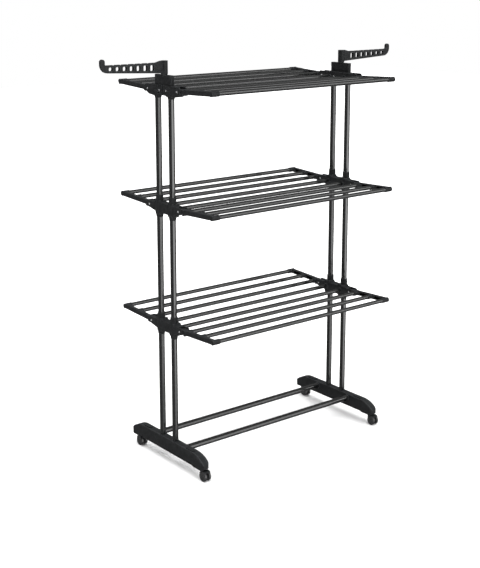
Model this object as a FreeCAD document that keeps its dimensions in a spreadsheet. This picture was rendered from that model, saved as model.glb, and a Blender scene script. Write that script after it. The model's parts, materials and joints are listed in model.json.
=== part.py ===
import FreeCAD, Part
import math
import os
import Sketcher

# Rolling clothes drying rack: two moulded feet on twin-wheel casters, four tube
# posts, three tiers of rods with hinged wings, and two hanger arms.
# Frame: +X along the rods, +Y to the back, +Z up, origin on the floor at the centre.

Vector = FreeCAD.Vector
doc = FreeCAD.newDocument("drying_rack")

# ---------------------------------------------------------------- sizes
# Lengths are in millimetres and angles in degrees.
SIZES = {
    # posts: four columns, each of three tube lengths
    "post_x": 468.0,
    "post_y": 45.0,
    "post_diameter": 25.0,
    "post_wall": 0.6,
    "tube_slip": 0.1,
    # rods and tiers
    "rod_diameter": 17.5,
    "rod_wall": 0.35,
    "rod_pitch": 89.0,
    "lower_tier": 583.0,
    "middle_tier": 1073.0,
    "upper_tier": 1540.0,
    # wing hinges
    "hinge_y": 100.0,
    "hinge_rise": 3.0,
    "wing_tilt": 2.5,
    "rivet_diameter": 5.0,
    "rivet_head": 8.6,
    "rivet_dome": 1.8,
    "pivot_slip": 0.05,
    # brackets that join the post lengths
    "bracket_outer": 13.0,
    "bracket_inner": 22.0,
    "bracket_skin": 2.5,
    "bracket_rim": 2.0,
    "bracket_rib": 2.0,
    "rib_recess": 6.0,
    "cheek": 4.2,
    "cheek_overhang": 19.0,
    "bracket_top": 18.0,
    "bracket_bridge": 19.0,
    "bracket_arch": 22.0,
    "bracket_flank": 19.0,
    "shoulder_curve": 6.0,
    "bridge_curve": 7.0,
    "arch_curve": 8.0,
    "end_top_curve": 6.0,
    "end_bottom_curve": 5.0,
    "collar_wall": 2.4,
    "collar_flare": 1.2,
    "collar_top": 50.0,
    "collar_bottom": 42.0,
    "collar_taper": 8.0,
    "collar_lip": 0.8,
    "post_stop": 3.0,
    "socket_boss": 11.4,
    "socket_reach": 6.0,
    "stop_slope": 19.0,
    "stop_distance": 11.2,
    "stop_gap": 0.2,
    "ledge": 3.5,
    "crown_top": 22.0,
    "crown_drop": 22.0,
    "crown_roof": 7.0,
    "crown_recess": 3.0,
    "crown_curve": 9.0,
    # wing arms
    "lug_radius": 10.0,
    "lug_gap": 0.3,
    "arm_width": 17.0,
    "arm_height": 19.0,
    "arm_wall": 2.8,
    "arm_corner": 2.5,
    "boss_radius": 10.75,
    "boss_reach": 26.0,
    "heel_depth": 14.5,
    "heel_length": 9.5,
    "gusset": 11.0,
    "gusset_height": 11.0,
    # hanger plates, pivots and arms
    "plate_thickness": 14.0,
    "plate_length": 112.0,
    "plate_height": 40.0,
    "plate_corner": 2.5,
    "tongue_length": 62.0,
    "tongue_depth": 34.0,
    "plate_rivet_y": 23.0,
    "plate_rivet_rise": 1.0,
    "seat_height": 3.0,
    "seat_root": 8.0,
    "hub_diameter": 28.0,
    "hub_height": 51.0,
    "hub_shoulder": 5.0,
    "pivot_diameter": 8.0,
    "pivot_length": 72.0,
    "pivot_seat": 34.0,
    "hanger_reach": 290.0,
    "hanger_thickness": 12.0,
    "hanger_edge": 1.5,
    "hanger_lift": 2.0,
    "hanger_slope": 3.0,
    "hanger_root": 45.0,
    "hanger_tip": 45.5,
    "hook_heel": 33.0,
    "hook_top": 68.0,
    "hook_width": 20.0,
    "slot_first": 59.5,
    "slot_pitch": 31.0,
    "slot_width": 18.0,
    "slot_margin": 8.5,
    "slot_corner": 5.0,
    "slot_rim": 2.5,
    "rim_proud": 0.8,
    "scallop": 3.5,
    "scallop_radius": 6.0,
    # feet
    "foot_length": 520.0,
    "foot_width": 38.0,
    "foot_underside": 47.5,
    "foot_lobe": 44.0,
    "foot_nose_low": 52.0,
    "foot_top": 100.0,
    "foot_wall": 3.0,
    "foot_edge": 3.0,
    "nose_radius": 111.6,
    "nose_length": 82.6,
    "groove_inset": 6.5,
    "groove_width": 2.2,
    "groove_depth": 1.4,
    "saddle_start": 126.0,
    "saddle_end": 184.0,
    "saddle_width": 21.0,
    "saddle_height": 4.0,
    "saddle_edge": 1.5,
    "ring_wall": 2.4,
    "ring_height": 3.0,
    "ring_edge": 1.0,
    "foot_rib": 2.0,
    "foot_rib_low": 52.0,
    "socket_floor": 52.0,
    "crossbar_y": 100.0,
    "crossbar_z": 84.5,
    "crossbar_depth": 28.0,
    "crossbar_collar": 1.4,
    # casters
    "caster_inset": 32.0,
    "caster_trail": 22.0,
    "wheel_radius": 20.5,
    "wheel_width": 10.5,
    "wheel_gap": 0.6,
    "hood_web": 10.0,
    "hood_core": 12.0,
    "hood_gap": 0.7,
    "hood_skin": 1.3,
    "hood_near": 30.0,
    "hood_far": 132.0,
    "axle_diameter": 6.0,
    "stem_diameter": 8.0,
    "stem_boss": 3.0,
    "stem_socket": 11.0,
    "stem_depth": 32.0,
    "stem_bore_depth": 12.7,
    "swivel_gap": 0.3,
}

sheet = doc.addObject("Spreadsheet::Sheet", "sizes")
for row, (alias, number) in enumerate(SIZES.items(), start=1):
    sheet.set("A%d" % row, alias)
    sheet.set("B%d" % row, "%g" % number)
    sheet.setAlias("B%d" % row, alias)
doc.recompute()


class Size:
    """A number together with the spreadsheet formula that gives it."""

    def __init__(self, number, formula):
        self.number = float(number)
        self.formula = formula

    @staticmethod
    def of(item):
        return item if isinstance(item, Size) else Size(item, "%.9g" % item)

    def __add__(self, other):
        other = Size.of(other)
        return Size(self.number + other.number, "(%s + %s)" % (self.formula, other.formula))

    def __sub__(self, other):
        other = Size.of(other)
        return Size(self.number - other.number, "(%s - %s)" % (self.formula, other.formula))

    def __mul__(self, other):
        other = Size.of(other)
        return Size(self.number * other.number, "(%s * %s)" % (self.formula, other.formula))

    def __truediv__(self, other):
        other = Size.of(other)
        return Size(self.number / other.number, "(%s / %s)" % (self.formula, other.formula))

    def __radd__(self, other):
        return Size.of(other) + self

    def __rsub__(self, other):
        return Size.of(other) - self

    def __rmul__(self, other):
        return Size.of(other) * self

    def __neg__(self):
        return Size(-self.number, "(0 - %s)" % self.formula)


class Sheet:
    """Reads the spreadsheet's cells by name, as sizes with their formula."""

    def __getattr__(self, alias):
        return Size(getattr(sheet, alias), "sizes." + alias)


s = Sheet()


def sine(angle):
    return Size(math.sin(math.radians(angle.number)), "sin(%s * 1 deg)" % angle.formula)


def cosine(angle):
    return Size(math.cos(math.radians(angle.number)), "cos(%s * 1 deg)" % angle.formula)


def square_root(size):
    return Size(math.sqrt(size.number), "sqrt(%s)" % size.formula)


# ---------------------------------------------------------------- modelling helpers
# A point of an outline is (u, v); Arc after it bends the next edge round a centre.
class Arc:
    def __init__(self, centre_u, centre_v, clockwise=False):
        self.centre = (Size.of(centre_u), Size.of(centre_v))
        self.clockwise = clockwise


class Circle:
    def __init__(self, u, v, radius):
        self.centre = (Size.of(u), Size.of(v))
        self.radius = Size.of(radius)


# sign: which way the plane's own normal points along its axis
PLANES = {"XY": ("XY_Plane", 1), "XZ": ("XZ_Plane", -1), "YZ": ("YZ_Plane", 1)}


def pin_point(sketch, geometry, corner, point, which="uv"):
    """Fix a sketch point by its two distances from the origin."""
    for letter, kind, size in (("u", "DistanceX", point[0]), ("v", "DistanceY", point[1])):
        if letter in which:
            number = sketch.addConstraint(
                Sketcher.Constraint(kind, -1, 1, geometry, corner, size.number))
            sketch.setExpression("Constraints[%d]" % number, size.formula)


def draw_circle(sketch, circle):
    centre = Vector(circle.centre[0].number, circle.centre[1].number, 0)
    index = sketch.addGeometry(Part.Circle(centre, Vector(0, 0, 1), circle.radius.number), False)
    pin_point(sketch, index, 3, circle.centre)
    number = sketch.addConstraint(Sketcher.Constraint("Radius", index, circle.radius.number))
    sketch.setExpression("Constraints[%d]" % number, circle.radius.formula)


def draw_loop(sketch, items):
    """Draw a closed loop of lines and arcs and pin every corner to the sheet."""
    corners = []
    bends = []
    for item in items:
        if isinstance(item, Arc):
            bends[-1] = item
        else:
            corners.append((Size.of(item[0]), Size.of(item[1])))
            bends.append(None)
    count = len(corners)
    indices = []
    ends = []
    for position in range(count):
        start = Vector(corners[position][0].number, corners[position][1].number, 0)
        after = corners[(position + 1) % count]
        stop = Vector(after[0].number, after[1].number, 0)
        bend = bends[position]
        if bend is None:
            indices.append(sketch.addGeometry(Part.LineSegment(start, stop), False))
            ends.append((1, 2))
            continue
        centre = Vector(bend.centre[0].number, bend.centre[1].number, 0)
        first, last = (stop, start) if bend.clockwise else (start, stop)
        angles = [math.atan2(p.y - centre.y, p.x - centre.x) for p in (first, last)]
        circle = Part.Circle(centre, Vector(0, 0, 1), (start - centre).Length)
        indices.append(sketch.addGeometry(Part.ArcOfCircle(circle, *angles), False))
        ends.append((2, 1) if bend.clockwise else (1, 2))
        pin_point(sketch, indices[-1], 3, bend.centre)
    for position in range(count):
        after = (position + 1) % count
        sketch.addConstraint(Sketcher.Constraint(
            "Coincident", indices[position], ends[position][1], indices[after], ends[after][0]))
        bend = bends[position - 1]
        which = "uv"
        if bend is not None:
            across = corners[position][0].number - bend.centre[0].number
            upward = corners[position][1].number - bend.centre[1].number
            which = "v" if abs(across) > abs(upward) else "u"
        pin_point(sketch, indices[position], ends[position][0], corners[position], which)


def add_sketch(body, name, plane, offset, loops):
    sketch = body.newObject("Sketcher::SketchObject", name)
    role = PLANES[plane][0]
    support = [item for item in body.Origin.OriginFeatures if item.Role == role][0]
    sketch.AttachmentSupport = [(support, "")]
    sketch.MapMode = "FlatFace"
    sketch.setExpression("AttachmentOffset.Base.z", offset.formula)
    for loop in loops:
        if isinstance(loop, Circle):
            draw_circle(sketch, loop)
        else:
            draw_loop(sketch, loop)
    return sketch


def pad(body, name, plane, low, high, loops):
    """Add material between two levels along the axis that the plane faces."""
    low, high = Size.of(low), Size.of(high)
    sign = PLANES[plane][1]
    sketch = add_sketch(body, name + "_outline", plane, low if sign > 0 else -high, loops)
    feature = body.newObject("PartDesign::Pad", name)
    feature.Profile = sketch
    feature.setExpression("Length", (high - low).formula)
    body.Tip = feature
    return feature


def pocket(body, name, plane, low, high, loops):
    """Cut material between two levels along the axis that the plane faces."""
    low, high = Size.of(low), Size.of(high)
    sign = PLANES[plane][1]
    sketch = add_sketch(body, name + "_outline", plane, high if sign > 0 else -low, loops)
    feature = body.newObject("PartDesign::Pocket", name)
    feature.Profile = sketch
    feature.setExpression("Length", (high - low).formula)
    body.Tip = feature
    return feature


def revolve(body, name, loop):
    """Turn an outline drawn on XY, with Y as the radius, about the X axis."""
    sketch = add_sketch(body, name + "_outline", "XY", Size.of(0), [loop])
    feature = body.newObject("PartDesign::Revolution", name)
    feature.Profile = sketch
    feature.ReferenceAxis = (sketch, ["H_Axis"])
    feature.Angle = 360
    body.Tip = feature
    return feature


def cone(body, name, u, v, low, high, low_radius, high_radius):
    """Add a vertical cone frustum between two heights."""
    low, high = Size.of(low), Size.of(high)
    feature = body.newObject("PartDesign::AdditiveCone", name)
    support = [item for item in body.Origin.OriginFeatures if item.Role == "XY_Plane"][0]
    feature.AttachmentSupport = [(support, "")]
    feature.MapMode = "FlatFace"
    feature.setExpression("AttachmentOffset.Base.x", Size.of(u).formula)
    feature.setExpression("AttachmentOffset.Base.y", Size.of(v).formula)
    feature.setExpression("AttachmentOffset.Base.z", low.formula)
    feature.setExpression("Radius1", low_radius.formula)
    feature.setExpression("Radius2", high_radius.formula)
    feature.setExpression("Height", (high - low).formula)
    body.Tip = feature
    return feature


def straight_edges(shape, axis, corners, tolerance=0.05):
    """Names of the straight edges along an axis that pass through the given corners."""
    others = [letter for letter in "xyz" if letter != axis]
    wanted = []
    for corner in corners:
        wanted.append((Size.of(corner[0]).number, Size.of(corner[1]).number))
    names = []
    for index, edge in enumerate(shape.Edges, start=1):
        if edge.Curve.TypeId != "Part::GeomLine":
            continue
        start, stop = edge.Vertexes[0].Point, edge.Vertexes[-1].Point
        along = (stop - start).normalize()
        if abs(getattr(along, axis)) < 0.999:
            continue
        place = [getattr(start, letter) for letter in others]
        for corner in wanted:
            if math.dist(place, corner) < tolerance:
                names.append("Edge%d" % index)
                break
    return names


def face_edges(shape, axis, level, tolerance=0.01):
    """Names of the edges that lie whole in the flat face at a level along an axis."""
    names = []
    low, high = Size.of(level).number - tolerance, Size.of(level).number + tolerance
    for index, edge in enumerate(shape.Edges, start=1):
        box = edge.BoundBox
        if low < getattr(box, axis + "Min") and getattr(box, axis + "Max") < high:
            names.append("Edge%d" % index)
    return names


def fillet(body, name, radius, edges):
    base = body.Tip
    feature = body.newObject("PartDesign::Fillet", name)
    feature.Base = (base, edges)
    feature.setExpression("Radius", Size.of(radius).formula)
    body.Tip = feature
    return feature


def new_body(label):
    body = doc.addObject("PartDesign::Body", label)
    body.Label = label
    return body


def place(item, x=0, y=0, z=0, turned=False, tilt=None):
    """Set a sub-part down in the rack; turned faces it the other way about Z."""
    spin = FreeCAD.Rotation(Vector(0, 0, 1), 180 if turned else 0)
    lean = FreeCAD.Rotation(Vector(1, 0, 0), tilt.number if tilt else 0)
    item.Placement = FreeCAD.Placement(Vector(0, 0, 0), spin.multiply(lean))
    for letter, size in (("x", x), ("y", y), ("z", z)):
        item.setExpression("Placement.Base." + letter, Size.of(size).formula)
    nodes.append(item)


def both_ways(items):
    """An outline given for +Y, continued by its mirror image on the -Y side."""
    mirrored = []
    for item in reversed(items):
        if isinstance(item, Arc):
            mirrored.append(Arc(-item.centre[0], item.centre[1], item.clockwise))
        else:
            mirrored.append((-Size.of(item[0]), Size.of(item[1])))
    return items + mirrored


def round_box(left, right, low, high, radius):
    """A box with round corners, drawn counterclockwise."""
    return [
        (left + radius, low), (right - radius, low), Arc(right - radius, low + radius),
        (right, low + radius), (right, high - radius), Arc(right - radius, high - radius),
        (right - radius, high), (left + radius, high), Arc(left + radius, high - radius),
        (left, high - radius), (left, low + radius), Arc(left + radius, low + radius),
    ]


def ring(u, v, outer, inner):
    return [Circle(u, v, outer), Circle(u, v, inner)]


nodes = []
SIDES = (("left", -1), ("right", 1))
ENDS = (("front", -1), ("back", 1))
TIERS = (("lower", s.lower_tier), ("middle", s.middle_tier), ("upper", s.upper_tier))

post_radius = s.post_diameter / 2
post_bore = post_radius + s.tube_slip
rod_radius = s.rod_diameter / 2
rod_bore = rod_radius + s.tube_slip
rivet_radius = s.rivet_diameter / 2
caster_y = s.foot_length / 2 - s.caster_inset
wing_rod_steps = [s.post_y + s.rod_pitch * step - s.hinge_y for step in (1, 2, 3)]


# ---------------------------------------------------------------- posts, rods and crossbars
def post(label, side, end, low, high):
    body = new_body(label)
    pad(body, "tube", "XY", low, high, ring(0, 0, post_radius, post_radius - s.post_wall))
    place(body, side * s.post_x, end * s.post_y)


post_lengths = (
    ("lower", s.socket_floor, s.lower_tier - s.post_stop),
    ("middle", s.lower_tier + s.post_stop, s.middle_tier - s.post_stop),
    ("upper", s.middle_tier + s.post_stop, s.upper_tier + s.crown_top - s.crown_roof),
)
for side_name, side in SIDES:
    for end_name, end in ENDS:
        for length_name, low, high in post_lengths:
            post("post_%s_%s_%s" % (length_name, side_name, end_name), side, end, low, high)


def fixed_rods():
    """The two rods of each tier that stay between the brackets."""
    body = new_body("fixed_rods")
    half = s.post_x - post_radius - 1
    rings = []
    for _, height in TIERS:
        for _, end in ENDS:
            rings += ring(end * s.post_y, height, rod_radius, rod_radius - s.rod_wall)
    pad(body, "tubes", "YZ", -half, half, rings)
    place(body)


def wing_rods(label, end, height):
    """The three rods of one wing, in the wing's own tilted frame."""
    body = new_body(label)
    half = s.post_x + s.arm_width / 2 - s.arm_wall - s.tube_slip
    rings = []
    for step in wing_rod_steps:
        rings += ring(step, 0, rod_radius, rod_radius - s.rod_wall)
    pad(body, "tubes", "YZ", -half, half, rings)
    place(body, 0, end * s.hinge_y, height + s.hinge_rise, turned=end < 0, tilt=s.wing_tilt)


fixed_rods()
for tier_name, height in TIERS:
    for end_name, end in ENDS:
        wing_rods("wing_rods_%s_%s" % (tier_name, end_name), end, height)


def crossbar(label, end):
    body = new_body(label)
    half = s.post_x - s.foot_width / 2 + s.crossbar_depth
    pad(body, "tube", "YZ", -half, half, ring(0, 0, post_radius, post_radius - s.post_wall))
    place(body, 0, end * s.crossbar_y, s.crossbar_z)


for end_name, end in ENDS:
    crossbar("crossbar_" + end_name, end)


# ---------------------------------------------------------------- brackets
# A bracket's own frame has the rod axis at z = 0 and +X towards the middle of the rack.
bracket_reach = s.hinge_y + s.cheek_overhang
fork_start = s.hinge_y - s.lug_radius - 5
collar_radius = post_radius + s.collar_wall
outer_foot = s.post_y + collar_radius
inner_foot = s.post_y - collar_radius


def corner_fillet(body, name, radius, corners):
    """Round the edges along X that pass through the given (y, z) corners, on both sides."""
    doc.recompute()
    mirrored = [(end * Size.of(y), z) for y, z in corners for _, end in ENDS]
    fillet(body, name, radius, straight_edges(body.Shape, "x", mirrored))


def soften_rim(body):
    """Round the whole edge of the bracket's outer face."""
    doc.recompute()
    fillet(body, "outer_rim", s.bracket_rim, face_edges(body.Shape, "X", -s.bracket_outer))


def collars_down(body, length):
    """Collars round the posts below a bracket, tapered to a thin lip."""
    for end_name, end in ENDS:
        y = end * s.post_y
        cone(body, "collar_lip_" + end_name, 0, y, -length, s.collar_taper - length,
             post_radius + s.collar_lip, collar_radius)
        cone(body, "collar_down_" + end_name, 0, y, s.collar_taper - length, 0,
             collar_radius, collar_radius + s.collar_flare)


def hollow_shoulders(body, bottom, ceiling):
    """Open the moulding from below between each post and its hinge fork."""
    near = s.post_y + post_bore + s.bracket_skin
    far = fork_start - s.bracket_skin
    outer = s.bracket_skin - s.bracket_outer
    inner = s.bracket_inner - s.bracket_skin
    shoulders = []
    for _, end in ENDS:
        shoulders.append([(outer, end * near), (inner, end * near),
                          (inner, end * far), (outer, end * far)])
    pocket(body, "shoulder_hollows", "XY", bottom, ceiling, shoulders)
    rib = s.bracket_rib / 2
    middle = (outer + inner) / 2
    ribs = []
    for _, end in ENDS:
        ribs.append([(middle - rib, end * (near - 1)), (middle + rib, end * (near - 1)),
                     (middle + rib, end * (far + 1)), (middle - rib, end * (far + 1))])
    pad(body, "shoulder_ribs", "XY", s.rib_recess - s.bracket_flank, ceiling + 1, ribs)


def fork_and_sockets(body):
    """What every bracket has: hinge forks, stop ledges, rod sockets and rivet holes."""
    reach = bracket_reach
    beyond = reach + 5
    above = s.crown_top + 5
    slot = [(fork_start, above), (beyond, above), (beyond, -above), (fork_start, -above)]
    facing = [(-u, v) for u, v in slot]
    pocket(body, "fork_slots", "YZ", s.cheek - s.bracket_outer, s.bracket_inner - s.cheek,
           [slot, facing])
    # the ledge under each lug stops the wing when it lies flat
    drop = s.stop_distance + s.stop_gap
    near_y = s.hinge_y + sine(s.stop_slope) * drop
    near_z = s.hinge_rise - cosine(s.stop_slope) * drop
    rise = (reach - near_y) * sine(s.stop_slope) / cosine(s.stop_slope)
    ledge = [(near_y, near_z), (reach, near_z + rise),
             (reach, near_z + rise - s.ledge), (near_y, near_z - s.ledge)]
    facing = [(-u, v) for u, v in ledge]
    pad(body, "stop_ledges", "YZ", s.cheek - s.bracket_outer, s.bracket_inner - s.cheek,
        [ledge, facing])
    socket_end = s.bracket_inner + s.socket_reach
    bosses = [Circle(end * s.post_y, 0, s.socket_boss) for _, end in ENDS]
    pad(body, "rod_bosses", "YZ", s.bracket_inner - s.cheek, socket_end, bosses)
    bores = [Circle(end * s.post_y, 0, rod_bore) for _, end in ENDS]
    pocket(body, "rod_sockets", "YZ", post_radius + 1 - s.tube_slip, socket_end, bores)
    holes = [Circle(end * s.hinge_y, s.hinge_rise, rivet_radius) for _, end in ENDS]
    pocket(body, "rivet_holes", "YZ", -s.bracket_outer, s.bracket_inner, holes)


def tier_bracket(label, side, height):
    """Lower and middle bracket: the posts pass on upwards out of its shoulders."""
    body = new_body(label)
    top, bridge, arch = s.bracket_top, s.bracket_bridge, s.bracket_arch
    inner_turn = inner_foot - s.bridge_curve
    outer_turn = outer_foot + s.shoulder_curve
    bridge_end = bridge + s.bridge_curve
    shoulder_end = top + s.shoulder_curve
    arch_end = -arch - s.arch_curve
    end_top = (bracket_reach, top)
    end_bottom = (bracket_reach, -6.5)
    profile = both_ways([
        (inner_turn, bridge), Arc(inner_turn, bridge_end), (inner_foot, bridge_end),
        (outer_foot, shoulder_end), Arc(outer_turn, shoulder_end), (outer_turn, top),
        end_top, end_bottom, (outer_foot, -s.bracket_flank), (outer_foot - 3, arch_end),
        (inner_foot, arch_end), Arc(inner_foot - s.arch_curve, arch_end),
        (inner_foot - s.arch_curve, -arch),
    ])
    pad(body, "plates", "YZ", -s.bracket_outer, s.bracket_inner, [profile])
    corner_fillet(body, "end_rounds", s.end_top_curve, [end_top])
    corner_fillet(body, "lower_rounds", s.end_bottom_curve, [end_bottom])
    soften_rim(body)
    for end_name, end in ENDS:
        cone(body, "collar_up_" + end_name, 0, end * s.post_y, 0, s.collar_top,
             collar_radius + s.collar_flare, collar_radius)
    collars_down(body, s.collar_bottom)
    centres = [(0, end * s.post_y) for _, end in ENDS]
    upper = [Circle(x, y, post_bore) for x, y in centres]
    pocket(body, "upper_sockets", "XY", s.post_stop, s.collar_top, upper)
    lower = [Circle(x, y, post_bore) for x, y in centres]
    pocket(body, "lower_sockets", "XY", -s.collar_bottom, -s.post_stop, lower)
    inside = inner_foot - s.bracket_skin + s.collar_wall
    outer = s.bracket_skin - s.bracket_outer
    inner = s.bracket_inner - s.bracket_skin
    hollow = [(outer, -inside), (inner, -inside), (inner, inside), (outer, inside)]
    ceiling = bridge - s.bracket_skin
    pocket(body, "middle_hollow", "XY", arch_end, ceiling, [hollow])
    rib = s.bracket_rib / 2
    middle = (outer + inner) / 2
    low = s.rib_recess - arch
    for name, left, right, near, far in (
            ("long_rib", middle - rib, middle + rib, -inside - 1, inside + 1),
            ("cross_rib", outer - 1, inner + 1, -rib, rib)):
        pad(body, name, "XY", low, ceiling + 1,
            [[(left, near), (right, near), (right, far), (left, far)]])
    hollow_shoulders(body, arch_end, top - s.bracket_skin - 2)
    fork_and_sockets(body)
    place(body, side * s.post_x, 0, height, turned=side > 0)


def top_bracket(label, side):
    """Upper bracket: closed over the posts, with a mortise for the hanger plate."""
    body = new_body(label)
    collar_end = s.crown_drop + s.collar_taper
    end_top = (bracket_reach, s.crown_top)
    end_bottom = (bracket_reach, -4)
    profile = both_ways([
        end_top, end_bottom, (s.hinge_y - 8, 3 - s.crown_drop),
        (outer_foot, -s.crown_drop), (inner_foot, -s.crown_drop),
        (inner_foot - 8, 4 - s.crown_drop),
    ])
    pad(body, "plates", "YZ", -s.bracket_outer, s.bracket_inner, [profile])
    corner_fillet(body, "end_rounds", s.crown_curve, [end_top])
    corner_fillet(body, "lower_rounds", s.end_bottom_curve, [end_bottom])
    soften_rim(body)
    collars_down(body, collar_end)
    bores = [Circle(0, end * s.post_y, post_bore) for _, end in ENDS]
    pocket(body, "post_sockets", "XY", -collar_end, s.crown_top - s.crown_roof, bores)
    hollow_shoulders(body, -s.crown_drop, s.crown_top - s.bracket_skin)
    fork_and_sockets(body)
    half = s.tongue_length / 2 + s.tube_slip
    floor = s.crown_top - s.tongue_depth - s.tube_slip
    mortise = [(-half, floor), (half, floor), (half, s.crown_top), (-half, s.crown_top)]
    thick = s.plate_thickness / 2 + s.tube_slip
    pocket(body, "mortise", "YZ", -thick, thick, [mortise])
    face = [(2 - half, floor), (half - 2, floor), (half - 2, s.crown_top), (2 - half, s.crown_top)]
    pocket(body, "recess", "YZ", -s.bracket_outer, s.crown_recess - s.bracket_outer, [face])
    gap = [(-4, floor), (4, floor), (4, s.crown_top), (-4, s.crown_top)]
    pocket(body, "window", "YZ", -s.bracket_outer, -thick, [gap])
    holes = [Circle(end * s.plate_rivet_y, s.plate_rivet_rise, rivet_radius) for _, end in ENDS]
    pocket(body, "plate_rivet_holes", "YZ", -s.bracket_outer, s.bracket_inner, holes)
    place(body, side * s.post_x, 0, s.upper_tier, turned=side > 0)


for side_name, side in SIDES:
    for tier_name, height in TIERS[:2]:
        tier_bracket("bracket_%s_%s" % (tier_name, side_name), side, height)
    top_bracket("bracket_upper_" + side_name, side)


# ---------------------------------------------------------------- wing arms
# An arm's own frame has the rivet at the origin and +Y along the arm; hand is +1 where
# +X is the side that the rods come from.
def wing_arm(label, side, end, height):
    body = new_body(label)
    hand = -side * end

    def across(low, high):
        return (low, high) if hand > 0 else (-high, -low)

    first_rod, last_rod = wing_rod_steps[0], wing_rod_steps[-1]
    half_width = s.arm_width / 2
    half_height = s.arm_height / 2
    lug_low = s.cheek - s.bracket_outer + s.lug_gap
    lug_high = s.bracket_inner - s.cheek - s.lug_gap
    slope = s.stop_slope - s.wing_tilt
    near_y = sine(slope) * s.stop_distance
    near_z = -cosine(slope) * s.stop_distance
    heel_y = s.cheek_overhang + 0.6
    rise = (heel_y - near_y) * sine(slope) / cosine(slope)
    root = [
        (0, s.lug_radius), (first_rod, half_height), (first_rod, -half_height),
        (heel_y + s.heel_length, -s.heel_depth), (heel_y, -s.heel_depth),
        (heel_y, near_z + rise), (near_y, near_z), (0, 0),
    ]
    pad(body, "root", "YZ", *across(lug_low, lug_high), [root])
    pad(body, "lug", "YZ", *across(lug_low, lug_high), [Circle(0, 0, s.lug_radius)])
    corner = s.arm_corner
    side_u, side_v = half_width - corner, half_height - corner
    turn = hand < 0
    bar = [
        (hand * half_width, -half_height), (hand * half_width, half_height),
        (-hand * side_u, half_height), Arc(-hand * side_u, side_v, clockwise=turn),
        (-hand * half_width, side_v), (-hand * half_width, -side_v),
        Arc(-hand * side_u, -side_v, clockwise=turn), (-hand * side_u, -half_height),
    ]
    pad(body, "bar", "XZ", heel_y, last_rod, [bar])
    bosses = [Circle(step, 0, s.boss_radius) for step in wing_rod_steps[:-1]]
    pad(body, "rod_bosses", "YZ", *across(0, s.boss_reach), bosses)
    pad(body, "tip", "YZ", *across(-half_width, s.boss_reach),
        [Circle(last_rod, 0, s.boss_radius)])
    webs = []
    web_near = half_width - 1
    web_far = web_near + s.gusset
    turn = hand > 0
    for step in wing_rod_steps:
        low, high = step - s.boss_radius, step + s.boss_radius
        web = [(hand * web_near, low - s.gusset), Arc(hand * web_far, low - s.gusset, turn),
               (hand * web_far, low)]
        if step is last_rod:
            web += [(hand * web_far, step), (hand * web_near, step)]
        else:
            web += [(hand * web_far, high), Arc(hand * web_far, high + s.gusset, turn),
                    (hand * web_near, high + s.gusset)]
        webs.append(web)
    pad(body, "gussets", "XY", -s.gusset_height / 2, s.gusset_height / 2, webs)
    windows = []
    for step in wing_rod_steps[:-1]:
        near = step + s.boss_radius + s.gusset
        far = step + s.rod_pitch - s.boss_radius - s.gusset
        windows.append([(near, -half_height + s.arm_wall), (far, -half_height + s.arm_wall),
                        (far, half_height - s.arm_wall), (near, half_height - s.arm_wall)])
    pocket(body, "channels", "YZ", *across(s.arm_wall - half_width, half_width), windows)
    bores = [Circle(step, 0, rod_bore) for step in wing_rod_steps]
    pocket(body, "rod_sockets", "YZ", *across(s.arm_wall - half_width, s.boss_reach), bores)
    pocket(body, "rivet_hole", "YZ", *across(lug_low, lug_high),
           [Circle(0, 0, rivet_radius + s.pivot_slip)])
    place(body, side * s.post_x, end * s.hinge_y, height + s.hinge_rise,
          turned=end < 0, tilt=s.wing_tilt)


for tier_name, height in TIERS:
    for end_name, end in ENDS:
        for side_name, side in SIDES:
            wing_arm("arm_%s_%s_%s" % (tier_name, end_name, side_name), side, end, height)


# ---------------------------------------------------------------- rivets
def rivet(label, near, far, x, y, z):
    """A steel rivet along X with a domed head on each face."""
    body = new_body(label)
    head = s.rivet_head / 2
    shank = s.rivet_diameter / 2
    dome = s.rivet_dome
    outline = [
        (near - dome, 0), (near - dome, head * 0.45), (near - dome * 0.4, head * 0.9),
        (near, head), (near, shank), (far, shank), (far, head),
        (far + dome * 0.4, head * 0.9), (far + dome, head * 0.45), (far + dome, 0),
    ]
    revolve(body, "turned", outline)
    for letter, size in (("x", x), ("y", y), ("z", z)):
        body.setExpression("Placement.Base." + letter, size.formula)
    return body


def rivets():
    """All rivets of the rack share one sub-part: hinge rivets and plate rivets."""
    pieces = []
    for side_name, side in SIDES:
        outer, inner = -s.bracket_outer, s.bracket_inner
        recessed = s.crown_recess - s.bracket_outer
        hinge = (outer, inner) if side < 0 else (-inner, -outer)
        joint = (recessed, inner) if side < 0 else (-inner, -recessed)
        for end_name, end in ENDS:
            for tier_name, height in TIERS:
                name = "hinge_rivet_%s_%s_%s" % (tier_name, end_name, side_name)
                pieces.append(rivet(name, *hinge, side * s.post_x, end * s.hinge_y,
                                    height + s.hinge_rise))
            name = "plate_rivet_%s_%s" % (end_name, side_name)
            pieces.append(rivet(name, *joint, side * s.post_x, end * s.plate_rivet_y,
                                s.upper_tier + s.plate_rivet_rise))
    group = doc.addObject("Part::Compound", "rivets")
    group.Label = "rivets"
    group.Links = pieces
    nodes.append(group)


rivets()


# ---------------------------------------------------------------- hanger plates, pivots and arms
plate_base = s.upper_tier + s.crown_top
seat_top = plate_base + s.plate_height + s.seat_height


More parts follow.
